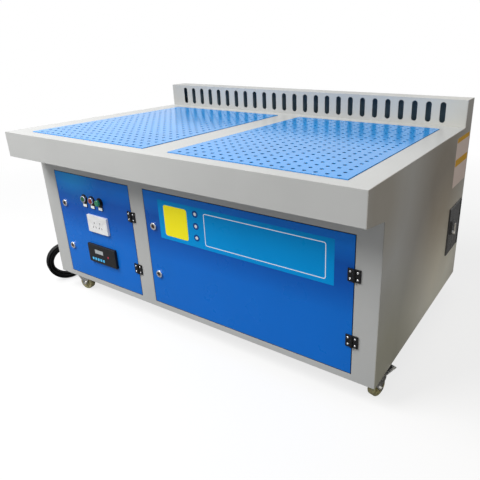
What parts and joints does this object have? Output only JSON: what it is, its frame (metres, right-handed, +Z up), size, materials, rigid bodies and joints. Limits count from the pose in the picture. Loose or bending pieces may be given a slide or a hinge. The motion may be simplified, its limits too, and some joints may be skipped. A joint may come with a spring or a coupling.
{
  "type": "downdraft extraction table",
  "caption": "Sheet-metal bench on casters with two perforated lift-out worktops, slotted backsplash, blue doors with controls, filters, fan and a coiled mains cord.",
  "frame": {"origin": "on the floor, under the middle of the table", "axes": "+X along the front to the right, +Y from the front to the back, +Z up"},
  "size_m": [1.6406, 0.985, 0.82],
  "materials": {
    "grey_powder_coat": "fine satin powder coat",
    "hatch_paint": "gloss powder coat",
    "blue_powder_coat": "satin powder coat",
    "light_blue_enamel": "gloss enamel",
    "galvanised_sheet": "galvanised sheet",
    "filter_media": "pleated polyester",
    "tank_paint": "satin paint",
    "cast_aluminium": "as cast",
    "motor_paint": "satin paint",
    "black_zinc": "black plated",
    "lock_steel": "dark turned steel",
    "chrome_plate": "polished",
    "green_plastic": "moulded",
    "red_plastic": "moulded",
    "green_lens": "translucent moulded",
    "white_plastic": "moulded",
    "dark_plastic": "fine texture",
    "display_glass": "clear window over a grey panel",
    "key_plastic": "moulded",
    "black_plastic": "moulded",
    "cord_rubber": "ribless sheath",
    "plug_rubber": "moulded",
    "zinc_plate": "bright zinc plate",
    "amber_polyurethane": "cast tread"
  },
  "bodies": {
    "cabinet": {"left_side_panel": "grey_powder_coat", "right_side_panel": "grey_powder_coat", "back_panel": "grey_powder_coat", "bottom_pan": "galvanised_sheet", "front_frame": "grey_powder_coat", "worktop_frame": "grey_powder_coat", "grate_ledges": "galvanised_sheet", "backsplash": "grey_powder_coat", "plenum_floor": "galvanised_sheet", "tube_sheet": "galvanised_sheet", "filter_cartridges": "filter_media", "air_tank": "tank_paint", "pulse_valves": "cast_aluminium", "fan_housing": "galvanised_sheet", "fan_motor": "motor_paint", "dust_drawer": "galvanised_sheet", "hinge_frame_leaves": "black_zinc", "cable_gland": "black_plastic", "cord_lead": "cord_rubber", "cord_coil": "cord_rubber", "cord_tail": "cord_rubber", "plug": "plug_rubber", "caster_plates": "zinc_plate"},
    "left_door": {"left_door_panel": "blue_powder_coat", "left_door_hinge_leaves": "black_zinc", "left_door_lock_bezels": "chrome_plate", "button_collars": "chrome_plate", "indicator_lamp": "green_lens", "socket_outlet": "white_plastic", "controller_housing": "dark_plastic", "controller_window": "display_glass"},
    "right_door": {"right_door_panel": "blue_powder_coat", "right_door_hinge_leaves": "black_zinc", "right_door_lock_bezels": "chrome_plate"},
    "left_upper_lock_core": {"left_upper_lock_core": "lock_steel"},
    "left_lower_lock_core": {"left_lower_lock_core": "lock_steel"},
    "right_upper_lock_core": {"right_upper_lock_core": "lock_steel"},
    "right_lower_lock_core": {"right_lower_lock_core": "lock_steel"},
    "start_button": {"start_button": "green_plastic"},
    "stop_button": {"stop_button": "red_plastic"},
    "controller_key_1": {"controller_key_1": "key_plastic"},
    "controller_key_2": {"controller_key_2": "key_plastic"},
    "controller_key_3": {"controller_key_3": "key_plastic"},
    "controller_key_4": {"controller_key_4": "key_plastic"},
    "controller_key_5": {"controller_key_5": "key_plastic"},
    "left_grate": {"left_grate": "light_blue_enamel"},
    "right_grate": {"right_grate": "light_blue_enamel"},
    "side_hatch": {"side_hatch": "hatch_paint"},
    "hatch_lever": {"hatch_lever": "chrome_plate"},
    "fan_impeller": {"fan_impeller": "cast_aluminium"},
    "front_left_caster_fork": {"front_left_caster_fork": "zinc_plate"},
    "front_left_caster_wheel": {"front_left_caster_wheel": "amber_polyurethane"},
    "front_left_brake_pedal": {"front_left_brake_pedal": "black_zinc"},
    "front_right_caster_fork": {"front_right_caster_fork": "zinc_plate"},
    "front_right_caster_wheel": {"front_right_caster_wheel": "amber_polyurethane"},
    "front_right_brake_pedal": {"front_right_brake_pedal": "black_zinc"},
    "rear_left_caster_fork": {"rear_left_caster_fork": "zinc_plate"},
    "rear_left_caster_wheel": {"rear_left_caster_wheel": "amber_polyurethane"},
    "rear_right_caster_fork": {"rear_right_caster_fork": "zinc_plate"},
    "rear_right_caster_wheel": {"rear_right_caster_wheel": "amber_polyurethane"}
  },
  "joints": [
    {"name": "left_door_hinge", "type": "hinge", "parent": "cabinet", "child": "left_door", "pos_m": [-0.2255, -0.3818, 0.3265], "axis": [0, 0, 1], "range_deg": [0, 100]},
    {"name": "right_door_hinge", "type": "hinge", "parent": "cabinet", "child": "right_door", "pos_m": [0.6725, -0.3818, 0.3265], "axis": [0, 0, 1], "range_deg": [0, 110]},
    {"name": "left_upper_lock_turn", "type": "hinge", "parent": "left_door", "child": "left_upper_lock_core", "pos_m": [-0.628, -0.3775, 0.42], "axis": [0, -1, 0], "range_deg": [0, 90]},
    {"name": "left_lower_lock_turn", "type": "hinge", "parent": "left_door", "child": "left_lower_lock_core", "pos_m": [-0.628, -0.3775, 0.23], "axis": [0, -1, 0], "range_deg": [0, 90]},
    {"name": "right_upper_lock_turn", "type": "hinge", "parent": "right_door", "child": "right_upper_lock_core", "pos_m": [-0.11, -0.3775, 0.42], "axis": [0, -1, 0], "range_deg": [0, 90]},
    {"name": "right_lower_lock_turn", "type": "hinge", "parent": "right_door", "child": "right_lower_lock_core", "pos_m": [-0.11, -0.3775, 0.23], "axis": [0, -1, 0], "range_deg": [0, 90]},
    {"name": "start_button_push", "type": "slide", "parent": "left_door", "child": "start_button", "axis": [0, 1, 0], "range_m": [0, 0.003], "stiffness_N_per_m": 400, "springref_m": -0.002},
    {"name": "stop_button_push", "type": "slide", "parent": "left_door", "child": "stop_button", "axis": [0, 1, 0], "range_m": [0, 0.003], "stiffness_N_per_m": 400, "springref_m": -0.002},
    {"name": "controller_key_1_push", "type": "slide", "parent": "left_door", "child": "controller_key_1", "axis": [0, 1, 0], "range_m": [0, 0.0008], "stiffness_N_per_m": 500, "springref_m": -0.0008},
    {"name": "controller_key_2_push", "type": "slide", "parent": "left_door", "child": "controller_key_2", "axis": [0, 1, 0], "range_m": [0, 0.0008], "stiffness_N_per_m": 500, "springref_m": -0.0008},
    {"name": "controller_key_3_push", "type": "slide", "parent": "left_door", "child": "controller_key_3", "axis": [0, 1, 0], "range_m": [0, 0.0008], "stiffness_N_per_m": 500, "springref_m": -0.0008},
    {"name": "controller_key_4_push", "type": "slide", "parent": "left_door", "child": "controller_key_4", "axis": [0, 1, 0], "range_m": [0, 0.0008], "stiffness_N_per_m": 500, "springref_m": -0.0008},
    {"name": "controller_key_5_push", "type": "slide", "parent": "left_door", "child": "controller_key_5", "axis": [0, 1, 0], "range_m": [0, 0.0008], "stiffness_N_per_m": 500, "springref_m": -0.0008},
    {"name": "left_grate_lift", "type": "slide", "parent": "cabinet", "child": "left_grate", "axis": [0, 0, 1], "range_m": [0, 0.06]},
    {"name": "right_grate_lift", "type": "slide", "parent": "cabinet", "child": "right_grate", "axis": [0, 0, 1], "range_m": [0, 0.06]},
    {"name": "side_hatch_hinge", "type": "hinge", "parent": "cabinet", "child": "side_hatch", "pos_m": [0.7543, 0.4518, 0.3325], "axis": [0, 0, 1], "range_deg": [0, 110]},
    {"name": "hatch_lever_turn", "type": "hinge", "parent": "side_hatch", "child": "hatch_lever", "pos_m": [0.76, 0.3225, 0.33], "axis": [1, 0, 0], "range_deg": [0, 90]},
    {"name": "fan_impeller_spin", "type": "hinge", "parent": "cabinet", "child": "fan_impeller", "pos_m": [-0.455, 0.13, 0.3], "axis": [1, 0, 0], "continuous": true},
    {"name": "front_left_swivel", "type": "hinge", "parent": "cabinet", "child": "front_left_caster_fork", "pos_m": [-0.668, -0.338, 0.0677], "axis": [0, 0, 1], "continuous": true},
    {"name": "front_left_wheel_spin", "type": "hinge", "parent": "front_left_caster_fork", "child": "front_left_caster_wheel", "pos_m": [-0.64324, -0.33452, 0.031], "axis": [0.1392, -0.9903, 0], "continuous": true},
    {"name": "front_left_brake", "type": "hinge", "parent": "front_left_caster_fork", "child": "front_left_brake_pedal", "pos_m": [-0.62146, -0.33146, 0.061], "axis": [-0.1392, 0.9903, 0], "range_deg": [0, 15]},
    {"name": "front_right_swivel", "type": "hinge", "parent": "cabinet", "child": "front_right_caster_fork", "pos_m": [0.721, -0.327, 0.0677], "axis": [0, 0, 1], "continuous": true},
    {"name": "front_right_wheel_spin", "type": "hinge", "parent": "front_right_caster_fork", "child": "front_right_caster_wheel", "pos_m": [0.72705, -0.30274, 0.031], "axis": [0.9703, -0.2419, 0], "continuous": true},
    {"name": "front_right_brake", "type": "hinge", "parent": "front_right_caster_fork", "child": "front_right_brake_pedal", "pos_m": [0.73237, -0.2814, 0.061], "axis": [-0.9703, 0.2419, 0], "range_deg": [0, 15]},
    {"name": "rear_left_swivel", "type": "hinge", "parent": "cabinet", "child": "rear_left_caster_fork", "pos_m": [-0.65, 0.358, 0.0677], "axis": [0, 0, 1], "continuous": true},
    {"name": "rear_left_wheel_spin", "type": "hinge", "parent": "rear_left_caster_fork", "child": "rear_left_caster_wheel", "pos_m": [-0.65, 0.383, 0.031], "axis": [1, 0, 0], "continuous": true},
    {"name": "rear_right_swivel", "type": "hinge", "parent": "cabinet", "child": "rear_right_caster_fork", "pos_m": [0.65, 0.358, 0.0677], "axis": [0, 0, 1], "continuous": true},
    {"name": "rear_right_wheel_spin", "type": "hinge", "parent": "rear_right_caster_fork", "child": "rear_right_caster_wheel", "pos_m": [0.65, 0.383, 0.031], "axis": [1, 0, 0], "continuous": true}
  ]
}
